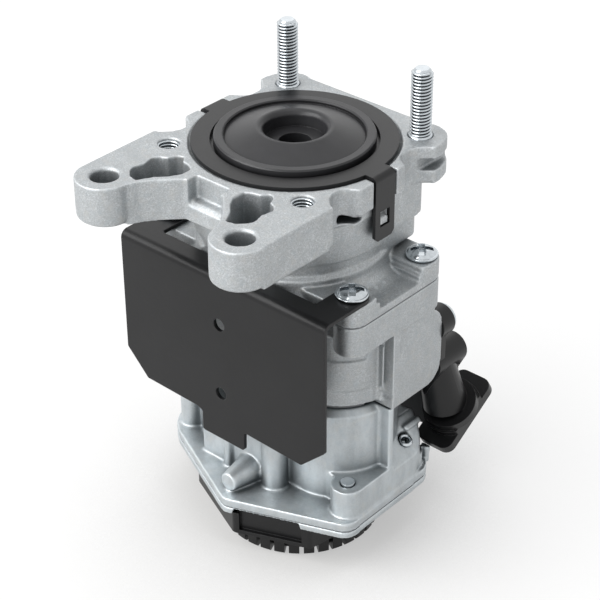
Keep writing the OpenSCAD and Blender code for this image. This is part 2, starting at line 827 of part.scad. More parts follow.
module lower_solid() {
    lower_body();
    slab(cover_top_z + gasket_t, base_z) base_outline();
    lower_front();
    lower_side();
    for (p = base_screw_places()) translate([p[0], p[1], 0]) post(p[3], base_z - 1, p[2]);
    translate([0, 0, low_supply_z]) port_boss(12, port_face_x + 2);
    translate([port_x, 0, low_delivery_z]) rotate([0, 0, -90]) port_boss(12, -port_face_y);
}

// Places of the base screws with the top and the radius of each boss
function base_screw_places() = [
    [screw_x - 1, -screw_y, boss_top_z, boss_r], [screw_x - 2.6, 17, boss_top_z - 6, boss_r],
    [-screw_x + 3.2, -16.6, boss_top_z + 6, 5], [-screw_x + 2.2, 17, boss_top_z - 4, boss_r]];

module lower_housing() {
    color(base_alloy) difference() {
        lower_solid();
        post(piston_bore_r, low_stage_floor, joint_low_z + 1);
        post(low_seat_r, low_stage_under - 1, low_stage_floor + 1);
        post(valve_bore_r, cover_top_z - 5, low_stage_under);
        translate([0, 0, low_supply_z]) port_cut(port_face_x + 2, 3, -valve_bore_r + 1);
        translate([port_x, 0, low_delivery_z]) rotate([0, 0, -90]) port_cut(-port_face_y, 2.5, -10);
        for (p = base_screw_places()) translate([p[0], p[1], 0]) post(2.7, cover_top_z - 5, p[2] + 1);
        lock_frame() post(1.95, -7, 5);
        lock_frame() post(lock_head_r + gap, -0.2, 5);
        // Room for the corner of the plug plate
        plug_frame() slab(-gap, plug_plate_t + gap)
            soften(plate_r) square([plate_x + 2 * gap, plate_y + 2 * gap], center = true);
    }
}

module relay_piston() {
    groove_z = relay_top - 1.6;
    color(alloy) rotate_extrude() polygon([[low_hollow_r, relay_top], [piston_r, relay_top],
        [piston_r, groove_z], [piston_groove_r, groove_z], [piston_groove_r, groove_z - piston_groove_t],
        [piston_r, groove_z - piston_groove_t], [piston_r, relay_low], [15.8, relay_low],
        [15.8, relay_seat_z], [6.4, relay_seat_z], [6.4, low_stage_under - 0.4], [low_hollow_r,
            low_stage_under - 0.4]]);
}

module relay_piston_seal() {
    color(rubber_black) ring_seal(relay_top - 1.6);
}

module relay_spring() {
    color(spring_steel) coil(13.4, 0.7, low_stage_floor, relay_seat_z, 3, 14);
}

module lower_valve() {
    color(rubber_black) valve_body(low_disc_r, low_stem_r, low_hollow_r,
        low_stage_under - valve_lift, low_disc_z, base_z - 1);
}

module lower_valve_guide() {
    color(alloy) valve_guide(low_stem_r, low_guide_z, cover_top_z + gap);
}

module lower_valve_spring() {
    color(spring_steel) coil(10, 0.7, low_guide_z, low_disc_z, 4, 14);
}

// Base

module base_gasket() {
    color(rubber_black) difference() {
        slab(cover_top_z, cover_top_z + gasket_t) offset(delta = -0.5) base_outline();
        post(valve_bore_r, cover_top_z - 1, cover_top_z + 2);
        for (p = base_screw_places()) translate([p[0], p[1], 0]) post(3, cover_top_z - 1, cover_top_z + 2);
    }
}

module base_cover() {
    color(base_alloy) difference() {
        slab(cover_low_z, cover_top_z) base_outline();
        post(exhaust_r, cover_low_z - 1, cover_top_z + 1);
        for (p = base_screw_places()) translate([p[0], p[1], 0]) post(2.7, cover_low_z - 1,
            cover_top_z + 1);
        // Cut-out over the silencer window
        translate([base_tip_x, base_tip_y, cover_low_z - 1]) rotate([0, 0, base_turn]) translate([3, -2, 0])
            rotate([90, 0, 0]) translate([0, 0, -9]) linear_extrude(9)
                polygon([[0, -1], [28.6, -1], [27, base_cover_t + 0.9], [1.2, base_cover_t + 0.9]]);
    }
}

module base_screws() {
    color(zinc) for (p = base_screw_places()) translate([p[0], p[1], 0]) {
        post(2.65, cover_low_z - 0.5, p[2] + 0.9);
        translate([0, 0, cover_low_z]) rotate([180, 0, 0]) pan_head(4.6, 2.4);
    }
}

module silencer_outline() {
    soften(2.5) polygon([[-28, -24], [-26, -29.4], [6, -43.4], [34.6, -31.6], [36.2, -22], [30, 10],
        [-20, 10]]);
}

module silencer() {
    color(black_plastic) difference() {
        union() {
            slab(teeth_z, cover_low_z) {
                silencer_outline();
                translate([silencer_x, silencer_y]) circle(silencer_r - 1.2);
            }
            translate([silencer_x, silencer_y, 0]) rotate_extrude()
                polygon([[0, foot_z], [silencer_r - 1, foot_z], [silencer_r, foot_z + 1], [silencer_r,
                    teeth_z], [0, teeth_z]]);
            // Tongue that fills the cut-out of the cover
            translate([base_tip_x, base_tip_y, cover_low_z]) rotate([0, 0, base_turn]) translate([4.6, 2.6,
                0]) cube([24.8, 4, base_cover_t - 0.4]);
        }
        translate([silencer_x, silencer_y, 0]) post(silencer_r - tooth_depth - 1.4, foot_z + floor_t,
            flap_z);
        post(exhaust_r + 4, foot_z + floor_t, cover_low_z + 1);
        // Air slots between the teeth
        translate([silencer_x, silencer_y, foot_z - 1]) for (i = [0 : tooth_count - 1])
            rotate([0, 0, 360 * (i + 0.5) / tooth_count])
                translate([silencer_r - tooth_depth, -tooth_gap / 2, 0])
                    cube([tooth_depth + 4, tooth_gap, teeth_z - foot_z + 0.4]);
        // Recessed window in the front face
        translate([6, -43.4, teeth_z + 1.6]) rotate([0, 0, 22.4]) translate([2.4, -1, 0]) cube([25,
            2.6, 8]);
    }
    // Peg that carries the exhaust flap
    color(black_plastic) post(2, foot_z + floor_t - 0.5, flap_z);
    color(black_plastic) post(4, foot_z + floor_t - 0.5, flap_z - flap_t);
}

// Rubber disc that hangs under the silencer's inlet
module exhaust_flap() {
    color(rubber_black) difference() {
        post(exhaust_r + 5.8, flap_z - flap_t, flap_z);
        post(2 + run_clear, flap_z - 5, flap_z + 1);
    }
}

// Travel sensor

module sensor_pin() {
    color(zinc) translate([sensor_x, sensor_y, 0]) post(pin_r, slot_top - 2, flange_low - gap);
    color(black_plastic) difference() {
        translate([sensor_x - 3.2, sensor_y - 3.2, slot_top - 8]) cube([6.4, 6.4, 7]);
        translate([sensor_x, sensor_y, 0]) post(1.2, slot_top - 9, slot_top - 6);
    }
}

module sensor_spring() {
    color(spring_steel) translate([sensor_x, sensor_y, 0]) coil(2.3, 0.35, slot_low, slot_top - 8, 6, 12);
}

module sensor_board() {
    color(board_green) translate([37.4, 8, slot_low]) cube([1.6, 13, slot_top - slot_low - 0.5]);
    color(rubber_black) translate([34.6, 9.6, -84]) cube([3, 8, 12]);
}

// Places a child in the connector's own frame: its outer face is z = 0, the neck is above
module plug_frame() {
    translate([plug_x, plug_y, plug_z]) rotate([plug_tilt, 0, 0]) children();
}

// Flat outline in X and Z that stands on the cover's seat and reaches outwards
module cover_slab(t) {
    translate([0, cover_y + t, 0]) rotate([90, 0, 0]) linear_extrude(t) children();
}

// Bulge over the leads, round above and pointed below
module cover_lobe() {
    cover_slab(lobe_reach) translate([lobe_x, lobe_z]) hull() {
        circle(lobe_r);
        translate([-0.8, -lobe_tip]) circle(0.6);
    }
}

// Neck from the bulge down into the collar, leaning off the collar's own axis
module cover_neck() {
    translate([plug_x - 1.6, plug_y - 5.2, plug_z + 7.4]) rotate([12, -6, 0])
        cylinder(r1 = neck_foot_r, r2 = neck_top_r, h = 24);
}

module sensor_cover() {
    color(black_plastic) difference() {
        union() {
            cover_slab(cover_plate_t) {
                soften(3) polygon([[21.4, box_low_z + 0.2], [box_face_x - 0.7, box_low_z + 0.2],
                    [box_face_x - 0.7, ear_z], [ear_x - 4.4, ear_z + 4], [34, ear_z + 9], [21.4,
                        ear_z + 9]]);
                for (p = cover_screw_places()) translate(p) circle(ear_r);
            }
            cover_slab(cover_t) for (p = cover_screw_places()) translate(p) circle(ear_r);
            cover_lobe();
            cover_neck();
            plug_frame() {
                slab(0, plug_plate_t) soften(plate_r) square([plate_x, plate_y], center = true);
                intersection() {
                    post(collar_r + 0.8, plug_plate_t - 0.1, collar_low + 0.1);
                    slab(0, collar_top) square([plate_x, plate_y], center = true);
                }
                post(collar_r, collar_low, collar_top);
            }
        }
        plug_frame() post(socket_r, -1, socket_top);
        for (p = cover_screw_places())
            translate([p[0], cover_face_y + 1, p[1]]) rotate([90, 0, 0]) cylinder(r = 2.05,
                h = cover_t + 2);
        translate([26, 20, slot_low + 2]) cube([12, cover_y - 20 + 2.2, slot_top - slot_low - 4]);
    }
}

module cover_screws() {
    color(zinc) for (p = cover_screw_places()) translate([p[0], cover_face_y, p[1]]) rotate([-90, 0, 0]) {
        translate([0, 0, -14]) cylinder(r = 2, h = 14.4);
        pan_head(5.2, 3.2);
    }
}

module connector_pins() {
    color(brass_yellow) plug_frame() for (a = [0 : 3]) rotate([0, 0, 45 + 90 * a])
        translate([3.4, 0, 0]) post(0.8, 1.5, socket_top);
}

// Places a child on the shoulder of the lower housing, square to its slope
module lock_frame() {
    translate([lock_x, lock_y, lock_z]) rotate([0, 45, 0]) children();
}

module locking_screw() {
    color(zinc) lock_frame() difference() {
        union() {
            post(1.7, -6, 0.2);
            post(lock_head_r, -0.15, 1.1);
        }
        translate([0, 0, -0.8]) cylinder(r = 1.55, h = 3, $fn = 6);
    }
}

mounting_head();
mounting_studs();
retaining_ring();
plunger();
spring_seat();
plunger_spring();
control_spring();
upper_piston();
upper_piston_seal();
head_gasket();
middle_housing();
flange_screws();
shield();
upper_valve();
upper_valve_guide();
upper_valve_spring();
seam_gasket();
lower_housing();
relay_piston();
relay_piston_seal();
relay_spring();
lower_valve();
lower_valve_guide();
lower_valve_spring();
base_gasket();
base_cover();
base_screws();
silencer();
exhaust_flap();
sensor_pin();
sensor_spring();
sensor_board();
sensor_cover();
cover_screws();
connector_pins();
locking_screw();
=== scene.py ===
"""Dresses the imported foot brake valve: finishes, threads, stage, lights and camera."""

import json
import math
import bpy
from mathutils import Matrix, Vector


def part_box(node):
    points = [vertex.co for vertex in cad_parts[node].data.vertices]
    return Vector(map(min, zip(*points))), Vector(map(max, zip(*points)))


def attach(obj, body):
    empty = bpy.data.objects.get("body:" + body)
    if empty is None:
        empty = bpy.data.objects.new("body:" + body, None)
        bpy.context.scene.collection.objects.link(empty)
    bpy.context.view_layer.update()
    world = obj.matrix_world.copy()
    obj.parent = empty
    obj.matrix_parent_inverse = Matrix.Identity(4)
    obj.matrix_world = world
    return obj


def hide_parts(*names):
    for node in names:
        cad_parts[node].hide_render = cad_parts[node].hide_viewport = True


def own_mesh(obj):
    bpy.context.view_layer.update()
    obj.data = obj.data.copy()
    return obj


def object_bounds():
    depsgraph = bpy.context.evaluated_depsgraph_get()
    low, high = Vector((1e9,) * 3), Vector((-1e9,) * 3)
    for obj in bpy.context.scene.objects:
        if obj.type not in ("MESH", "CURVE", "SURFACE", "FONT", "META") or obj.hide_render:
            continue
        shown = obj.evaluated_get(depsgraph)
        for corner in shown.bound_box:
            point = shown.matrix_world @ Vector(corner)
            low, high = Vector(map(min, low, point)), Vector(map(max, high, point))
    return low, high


bl_info = {
    "name": "Foot brake valve look",
    "version": (1, 0, 0),
    "blender": (4, 5, 0),
    "location": "View3D > Sidebar > Valve",
    "description": "Finishes, threads and studio for the foot brake valve",
    "category": "Object",
}

from contextlib import contextmanager

import bpy
from mathutils import Matrix, Vector

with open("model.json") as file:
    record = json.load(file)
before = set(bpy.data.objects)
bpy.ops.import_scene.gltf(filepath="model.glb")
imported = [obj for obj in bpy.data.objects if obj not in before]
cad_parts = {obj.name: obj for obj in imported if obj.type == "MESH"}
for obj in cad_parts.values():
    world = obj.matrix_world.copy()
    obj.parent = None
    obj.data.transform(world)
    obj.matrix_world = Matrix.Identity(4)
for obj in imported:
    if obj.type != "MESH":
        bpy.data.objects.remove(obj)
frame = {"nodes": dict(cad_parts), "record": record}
NODES = frame["nodes"]
CAD_BOX = [list(corner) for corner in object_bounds()]
MM = 0.001

# Modelling
MERGE = 1e-6             # doubled vertices closer than this are one
SKIN_TRIANGLES = 190000  # a casting's skin is thinned to this
SHIELD_T = 0.0015        # the shield's sheet, which lies under the heads of two flange screws
LOCK_TILT = (math.radians(5.7), math.radians(18.5), 0.0)  # lean of the locking screw's face

# Tapped holes of the mounting face: radius of the widened bore, of the thread's foot, which is
# sunk in the wall, and of its crest, heights of the bore's floor and of the first turn, and turns
TAP_BORE, TAP_FOOT, TAP_CREST = 0.0039, 0.0042, 0.0034
TAP_FLOOR, TAP_START = -0.0115, -0.0119
TAP_TURNS = 9

# Cover skirt: left and right, front and back from the middle housing's rear, bottom and top from
# the lower housing's top, and the rounding of its edges
SKIRT_X = (0.0215, 0.0475)
SKIRT_Y = (0.0003, 0.0065)
SKIRT_Z = (-0.034, 0.003)
SKIRT_ROUND = 0.0018

# Shading
HOLLOW_SHADE_TINT = (0.85, 0.98, 1.06)  # bluish tone of the painted shade that darkens deep hollows of the alloy

# The photograph's camera: azimuth, elevation and roll in degrees, place in metres, and the
# focal length as a share of the picture's width
CAMERA_TURN = (41.65, 32.658, -0.321)
CAMERA_PLACE = (0.39146, -0.43797, 0.30872)
CAMERA_FOCAL = 1870.06 / 600
SENSOR_WIDTH = 36.0

# Name, place, target, side in metres and power in watts
LAMPS = (
    ("lamp_top", (-0.1, 0.1, 1.1), (0, 0, -0.05), 0.4, 0.6),
    ("lamp_left", (-0.55, -0.85, 0.8), (0, 0, -0.08), 1.1, 15.2),
    ("lamp_front", (0.1, -1.0, 0.3), (0, 0, -0.08), 0.5, 3.2),
    ("lamp_back", (-0.62, 0.72, 0.6), (0, 0, 0.0), 0.8, 0.8),
)


# Values a user would change

class ValveSizes(bpy.types.PropertyGroup):
    """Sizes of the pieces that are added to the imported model, in metres."""

    stud_pitch: bpy.props.FloatProperty(
        name="Thread pitch", description="Pitch of the stud and hole threads",
        default=0.00125, min=0.0005, max=0.002, subtype="DISTANCE", unit="LENGTH")
    stud_crest: bpy.props.FloatProperty(
        name="Stud radius", description="Radius over the stud threads",
        default=0.004, min=0.003, max=0.005, subtype="DISTANCE", unit="LENGTH")
    stud_root: bpy.props.FloatProperty(
        name="Thread root radius", description="Radius at the bottom of the stud threads",
        default=0.00315, min=0.0025, max=0.0045, subtype="DISTANCE", unit="LENGTH")
    skin_voxel: bpy.props.FloatProperty(
        name="Skin voxel", description="Grid of the skin from which a casting is rounded",
        default=0.0005, min=0.0003, max=0.002, subtype="DISTANCE", unit="LENGTH")
    floor_size: bpy.props.FloatProperty(
        name="Floor size", description="Side of the square floor",
        default=6.0, min=1.0, max=20.0, subtype="DISTANCE", unit="LENGTH")


class ValveColours(bpy.types.PropertyGroup):
    """Colours of the finishes."""

    head_alloy: bpy.props.FloatVectorProperty(
        name="Cast alloy", description="Sand-blasted casting of the head and middle housing",
        default=(0.47, 0.49, 0.50), min=0, max=1, subtype="COLOR")
    base_alloy: bpy.props.FloatVectorProperty(
        name="Bright alloy", description="Smoother casting of the lower housing and cover",
        default=(0.44, 0.47, 0.485), min=0, max=1, subtype="COLOR")
    zinc: bpy.props.FloatVectorProperty(
        name="Zinc", description="Plating of studs and screws",
        default=(0.62, 0.66, 0.69), min=0, max=1, subtype="COLOR")
    dark_plastic: bpy.props.FloatVectorProperty(
        name="Dark plastic", description="Plunger and retaining ring",
        default=(0.014, 0.014, 0.015), min=0, max=1, subtype="COLOR")
    black_plastic: bpy.props.FloatVectorProperty(
        name="Black plastic", description="Silencer and sensor cover",
        default=(0.004, 0.004, 0.0045), min=0, max=1, subtype="COLOR")
    shield_coat: bpy.props.FloatVectorProperty(
        name="Shield coating", description="Coating of the sheet shield",
        default=(0.01, 0.01, 0.0105), min=0, max=1, subtype="COLOR")


def sizes():
    """The scene's sizes."""
    return bpy.context.scene.valve_sizes


def colours():
    """The scene's colours."""
    return bpy.context.scene.valve_colours


# Shader expressions

class Wire:
    """A shader socket that takes part in Python arithmetic."""

    def __init__(self, nodes, socket):
        self.nodes = nodes
        self.socket = socket

    def _math(self, operation, first, second):
        return self.nodes.node("ShaderNodeMath", {"operation": operation}, {0: first, 1: second})

    def __add__(self, other):
        return self._math("ADD", self, other)

    def __radd__(self, other):
        return self._math("ADD", other, self)

    def __sub__(self, other):
        return self._math("SUBTRACT", self, other)

    def __rsub__(self, other):
        return self._math("SUBTRACT", other, self)

    def __mul__(self, other):
        return self._math("MULTIPLY", self, other)

    def __rmul__(self, other):
        return self._math("MULTIPLY", other, self)

    def clamp(self):
        """Kept between 0 and 1."""
        return self.nodes.node("ShaderNodeClamp", {}, {"Value": self}, "Result")


class Nodes:
    """A node tree that is built node by node."""

    def __init__(self, tree):
        self.tree = tree

    def node(self, kind, settings, values, output=0):
        """Adds a node with its settings, then the values or links of its sockets."""
        made = self.tree.nodes.new(kind)
        for key, value in settings.items():
            setattr(made, key, value)
        self.fill(made, values)
        return Wire(self, made.outputs[output])

    def fill(self, node, values):
        """Links or sets the sockets that the values name."""
        for key, value in values.items():
            if isinstance(value, Wire):
                self.tree.links.new(value.socket, node.inputs[key])
            else:
                node.inputs[key].default_value = value

    def rays(self, *kinds):
        """1 on rays of the named kinds and 0 on all others."""
        return sum(self.node("ShaderNodeLightPath", {}, {}, "Is %s Ray" % kind) for kind in kinds).clamp()


class Finish(Nodes):
    """One material, built around its Principled shader.

    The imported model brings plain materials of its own, so each name here ends in _finish.
    """

    def __init__(self, name):
        self.material = bpy.data.materials.new(name + "_finish")
        self.material.use_nodes = True
        super().__init__(self.material.node_tree)
        self.shader = self.tree.nodes["Principled BSDF"]
        self.where = self.node("ShaderNodeTexCoord", {}, {}, "Object")

    def noise(self, grain, detail=3.0, roughness=0.55, stretch=None):
        """Noise whose grain is a size in millimetres."""
        where = self.where
        if stretch:
            where = self.node("ShaderNodeMapping", {}, {"Vector": where, "Scale": stretch})
        return self.node("ShaderNodeTexNoise", {}, {"Vector": where, "Scale": 1000 / grain,
                                                    "Detail": detail, "Roughness": roughness}, "Fac")

    def grit(self, grain):
        """Cells that each have their own shade, as blasted grains have."""
        return self.node("ShaderNodeTexVoronoi", {"feature": "F1"},
                         {"Vector": self.where, "Scale": 1000 / grain}, "Color")

    def pointiness(self):
        """Above a half on edges and below it in hollows."""
        return self.node("ShaderNodeNewGeometry", {}, {}, "Pointiness")

    def open_sky(self, reach):
        """1 in the open and less the more a hollow or corner hides, within reach in metres."""
        return self.node("ShaderNodeAmbientOcclusion", {"samples": 8}, {"Distance": reach}, "AO")

    def ramp(self, value, low, high):
        """The value stretched so that low gives 0 and high gives 1."""
        return self.node("ShaderNodeMapRange", {"clamp": True},
                         {"Value": value, "From Min": low, "From Max": high}, "Result")

    def tint(self, mask, first, second):
        """A colour that goes from first to second with the mask."""
        first, second = (c if isinstance(c, Wire) else (*c, 1.0) for c in (first, second))
        return self.node("ShaderNodeMix", {"data_type": "RGBA"}, {0: mask, 6: first, 7: second}, 2)

    def soft_edges(self, radius):
        """The normal as it would be with edges rounded to a radius."""
        return self.node("ShaderNodeBevel", {"samples": 6}, {"Radius": radius}, "Normal")

    def edge_mask(self, radius):
        """1 on edges and 0 on flats, from how far the rounded normal leans away."""
        rounded = self.soft_edges(radius)
        flat = self.node("ShaderNodeNewGeometry", {}, {}, "Normal")
        lean = self.node("ShaderNodeVectorMath", {"operation": "DOT_PRODUCT"}, {0: rounded, 1: flat}, "Value")
        return self.ramp(1 - lean, 0.02, 0.3)

    def bump(self, height, depth, normal=None):
        """Relief whose depth is a size in millimetres."""
        values = {"Strength": 1.0, "Distance": depth * MM, "Height": height}
        if normal:
            values["Normal"] = normal
        return self.node("ShaderNodeBump", {}, values, "Normal")

    def mottle(self, tone, base, grain):
        """Faint warm and cool patches over a tone."""
        warm = (base[0] * 1.08, base[1] * 1.02, base[2] * 0.95)
        cool = (base[0] * 0.8, base[1] * 0.87, base[2] * 0.92)
        tone = self.tint(self.ramp(self.noise(grain, 5.0, 0.7), 0.52, 0.72) * 0.55, tone, warm)
        return self.tint(self.ramp(self.noise(grain * 0.7, 5.0, 0.65), 0.5, 0.25) * 0.5, tone, cool)

    def finish(self, **values):
        """Feeds the Principled shader, whose socket names have spaces for underscores."""
        self.fill(self.shader, {key.replace("_", " "): value for key, value in values.items()})
        return self.material


def shade(colour, factor):
    """A colour made darker or paler by a factor."""
    return tuple(min(1.0, channel * factor) for channel in colour)


# Finishes

def blasted_alloy(name, speckle, reach, depth):
    """Sand-blasted die casting: fine bright grain, soft clouds, edges paler from wear and painted highlight,
    and painted shade in the hollows.
    """
    f = Finish(name)
    base = colours().head_alloy
    grain = f.noise(0.5, 4.0, 0.75)
    grit = f.grit(0.36)
    clouds = f.noise(7.0, 4.0, 0.6)
    bend = f.pointiness()
    tone = f.tint(f.ramp(grain, 0.3, 0.7), shade(base, 0.68), shade(base, 1.25))
    tone = f.tint(f.ramp(grit, 0.5, 0.9) * speckle, tone, shade(base, 1.6))
    tone = f.tint(f.ramp(clouds, 0.4, 0.72) * 0.5, tone, shade(base, 0.8))
    tone = f.mottle(tone, base, 3.2)
    # edges paler: painted highlight where edges catch light, partly wear
    tone = f.tint(f.ramp(bend, 0.51, 0.56) * 0.6, tone, shade(base, 1.5))
    # painted shade: hollows and corners darken towards a bluish tone, within reach, as strongly as depth says
    tone = f.tint(f.ramp(f.open_sky(reach), 0.72, 0.15) * depth, tone, shade(HOLLOW_SHADE_TINT, 0.1))
    return f.finish(Base_Color=tone, Metallic=0.75, Roughness=0.4 + grain * 0.2,
                    Normal=f.bump(grain * 0.7 + grit * 0.3, 0.09))


def bright_alloy():
    """Smoother casting with flow marks, a little bluish, paler along its edges from wear and painted
    highlight, with painted shade in its hollows.
    """
    f = Finish("bright_alloy")
    base = shade(colours().base_alloy, 1.2)
    grain = f.noise(0.6, 4.0, 0.7)
    flow = f.noise(6.0, 4.0, 0.6, stretch=(1.0, 1.0, 0.4))
    bend = f.pointiness()
    tone = f.tint(f.ramp(flow, 0.35, 0.68), shade(base, 0.8), shade(base, 1.12))
    tone = f.tint(f.ramp(grain, 0.35, 0.65) * 0.5, tone, shade(base, 1.15))
    tone = f.mottle(tone, base, 5.0)
    # edges paler: painted highlight where edges catch light, partly wear
    tone = f.tint(f.ramp(bend, 0.508, 0.55) * 0.5, tone, shade(base, 1.6))
    # painted shade: hollows and corners darken towards a bluish tone
    tone = f.tint(f.ramp(f.open_sky(0.026), 0.68, 0.34) * 0.88, tone, shade(HOLLOW_SHADE_TINT, 0.09))
    return f.finish(Base_Color=tone, Metallic=0.7, Roughness=0.36 + flow * 0.14,
                    Normal=f.bump(grain * 0.5 + flow, 0.06))


def zinc_plate():
    """Bright zinc, cloudy, paler on edges from painted highlight and wear, with painted shade darkening its
    recesses.
    """
    f = Finish("zinc_plate")
    base = colours().zinc
    clouds = f.noise(2.4, 4.0, 0.6)
    edges = f.edge_mask(0.0003)
    tone = f.tint(f.ramp(clouds, 0.35, 0.7), shade(base, 0.86), base)
    # edges paler: painted highlight where edges catch light, partly wear
    tone = f.tint(edges * 0.5, tone, shade(base, 1.25))
    # painted shade: recesses and holes darken almost to black
    tone = f.tint(f.ramp(f.open_sky(0.002), 0.65, 0.15) * 0.9, tone, shade(base, 0.15))
    return f.finish(Base_Color=tone, Metallic=1.0, Roughness=0.1 + clouds * 0.14,
                    Normal=f.bump(clouds, 0.01, f.soft_edges(0.0003)))


def wire_steel():
    """Drawn spring wire."""
    f = Finish("wire_steel")
    drawn = f.noise(0.6, 3.0, 0.6)
    tone = f.tint(drawn, (0.34, 0.35, 0.37), (0.5, 0.51, 0.53))
    return f.finish(Base_Color=tone, Metallic=1.0, Roughness=0.28 + drawn * 0.15,
                    Normal=f.bump(drawn, 0.01))


def turned_alloy():
    """Fine tool marks round the part's axis."""
    f = Finish("turned_alloy")
    marks = f.noise(0.5, 2.0, 0.5, stretch=(0.1, 0.1, 3.0))
    tone = f.tint(marks, (0.6, 0.61, 0.62), (0.75, 0.76, 0.77))
    return f.finish(Base_Color=tone, Metallic=1.0, Roughness=0.25 + marks * 0.15,
                    Normal=f.bump(marks, 0.01))


def satin_plastic(name, base, rough, grain_depth):
    """Moulded plastic with a fine eroded skin."""
    f = Finish(name)
    skin = f.noise(0.5, 3.0, 0.6)
    clouds = f.noise(8.0, 2.0)
    edges = f.edge_mask(0.00025)
    tone = f.tint(f.ramp(clouds, 0.3, 0.75), shade(base, 0.85), shade(base, 1.15))
    # edges paler: painted highlight where edges catch light, partly wear
    tone = f.tint(edges * 0.5, tone, shade(base, 2.4))
    # painted shade: hollows and grooves darken
    tone = f.tint(f.ramp(f.open_sky(0.003), 0.8, 0.2) * 0.8, tone, shade(base, 0.2))
    return f.finish(Base_Color=tone, Roughness=rough + skin * 0.14, Specular_IOR_Level=0.4,
                    Normal=f.bump(skin, grain_depth, f.soft_edges(0.00025)))


def coated_sheet():
    """Black coating with a slight orange peel, paler along the edges from painted highlight and some wear."""
    f = Finish("coated_sheet")
    base = colours().shield_coat
    peel = f.noise(1.6, 2.0, 0.4)
    dust = f.noise(26.0, 4.0, 0.65)
    edges = f.edge_mask(0.0005)
    tone = f.tint(f.ramp(dust, 0.35, 0.75), shade(base, 0.88), shade(base, 1.18))
    # edges paler: painted highlight along edges and bend, partly wear
    tone = f.tint(edges * 0.6, tone, shade(base, 8.0))
    return f.finish(Base_Color=tone, Roughness=0.29 + peel * 0.1, Specular_IOR_Level=0.26,
                    Normal=f.bump(peel, 0.012, f.soft_edges(0.0005)))


def moulded_rubber():
    """Dull black rubber."""
    f = Finish("moulded_rubber")
    skin = f.noise(0.4, 3.0, 0.6)
    tone = f.tint(skin, (0.012, 0.012, 0.012), (0.028, 0.028, 0.028))
    return f.finish(Base_Color=tone, Roughness=0.6 + skin * 0.15, Normal=f.bump(skin, 0.02))


def gasket_paper():
    """Grey fibre paper."""
    f = Finish("gasket_paper")
    fibre = f.noise(0.5, 3.0, 0.7)
    tone = f.tint(fibre, (0.2, 0.21, 0.22), (0.32, 0.33, 0.34))
    return f.finish(Base_Color=tone, Roughness=0.6 + fibre * 0.2, Normal=f.bump(fibre, 0.03))


def board_lacquer():
    """Green circuit board with faint tracks."""
    f = Finish("board_lacquer")
    tracks = f.ramp(f.noise(1.5, 1.0), 0.48, 0.52)
    tone = f.tint(tracks, (0.02, 0.1, 0.05), (0.05, 0.2, 0.1))
    return f.finish(Base_Color=tone, Roughness=0.3 + tracks * 0.1, Normal=f.bump(tracks, 0.03))


def pin_brass():
    """Bright brass, a little worn."""
    f = Finish("pin_brass")
    wear = f.noise(0.5, 3.0)
    tone = f.tint(wear, (0.6, 0.42, 0.16), (0.8, 0.62, 0.3))
    return f.finish(Base_Color=tone, Metallic=1.0, Roughness=0.2 + wear * 0.2,
                    Normal=f.bump(wear, 0.005))


FINISH_OF = {
    "blasted_alloy": ["mounting_head"],
    "fine_alloy": ["middle_housing"],
    "bright_alloy": ["lower_housing", "base_cover"],
    "zinc_plate": ["mounting_studs", "flange_screws", "base_screws", "cover_screws", "locking_screw",
                   "spring_seat", "sensor_pin"],
    "wire_steel": ["plunger_spring", "control_spring", "upper_valve_spring", "relay_spring",
                   "lower_valve_spring", "sensor_spring"],
    "turned_alloy": ["upper_piston", "relay_piston", "upper_valve_guide", "lower_valve_guide"],
    "plunger_plastic": ["plunger"],
    "ring_plastic": ["retaining_ring"],
    "black_plastic": ["silencer", "sensor_cover"],
    "coated_sheet": ["shield"],
    "moulded_rubber": ["upper_piston_seal", "relay_piston_seal", "upper_valve", "lower_valve",
                       "exhaust_flap"],
    "gasket_paper": ["head_gasket", "seam_gasket", "base_gasket"],
    "board_lacquer": ["sensor_board"],
    "pin_brass": ["connector_pins"],
}


def make_finishes():
    """Makes every material that FINISH_OF names."""
    c = colours()
    blasted_alloy("blasted_alloy", 0.5, 0.012, 0.85)
    blasted_alloy("fine_alloy", 0.35, 0.006, 0.25)
    bright_alloy()
    zinc_plate()
    wire_steel()
    turned_alloy()
    satin_plastic("plunger_plastic", shade(c.dark_plastic, 2.2), 0.27, 0.012)
    satin_plastic("ring_plastic", shade(c.dark_plastic, 0.75), 0.32, 0.015)
    satin_plastic("black_plastic", c.black_plastic, 0.28, 0.02)
    coated_sheet()
    moulded_rubber()
    gasket_paper()
    board_lacquer()
    pin_brass()


def dress(obj, finish_name):
    """Gives the object one finish in place of its materials."""
    obj.data.materials.clear()
    obj.data.materials.append(bpy.data.materials[finish_name + "_finish"])


# Modelling helpers

def pick(*objects):
    """Leaves edit mode with only these objects selected and the first one active."""
    if bpy.context.mode != "OBJECT":
        bpy.ops.object.mode_set(mode="OBJECT")
    bpy.ops.object.select_all(action="DESELECT")
    for obj in objects:
        obj.select_set(True)
    if objects:
        bpy.context.view_layer.objects.active = objects[0]


@contextmanager
def editing(select="SELECT"):
    """Edit mode on the active object, all or none of its mesh selected, or with None as it was."""
    bpy.ops.object.mode_set(mode="EDIT")
    if select:
        bpy.ops.mesh.select_all(action=select)
    yield
    bpy.ops.object.mode_set(mode="OBJECT")


def shape(obj, kind, **settings):
    """Adds a modifier to the active object and applies it."""
    modifier = obj.modifiers.new(kind.lower(), kind)
    for key, value in settings.items():
        setattr(modifier, key, value)
    bpy.ops.object.modifier_apply(modifier=modifier.name)


def settle(obj, body, finish_name):
    """Puts the object's place in its mesh and gives it a body and finish."""
    pick(obj)
    bpy.ops.object.transform_apply(location=True, rotation=True, scale=True)
    dress(obj, finish_name)
    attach(obj, body)
    return obj


def merged_copy(name, node):
    """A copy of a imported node, whose loose triangles are merged into one mesh."""
    obj = bpy.data.objects.new(name, NODES[node].data.copy())
    bpy.context.scene.collection.objects.link(obj)
    pick(obj)
    with editing():
        bpy.ops.mesh.remove_doubles(threshold=MERGE)
    return obj


def join(first, *others):
    """Joins the others into the first object."""
    pick(first, *others)
    bpy.ops.object.join()
    return first


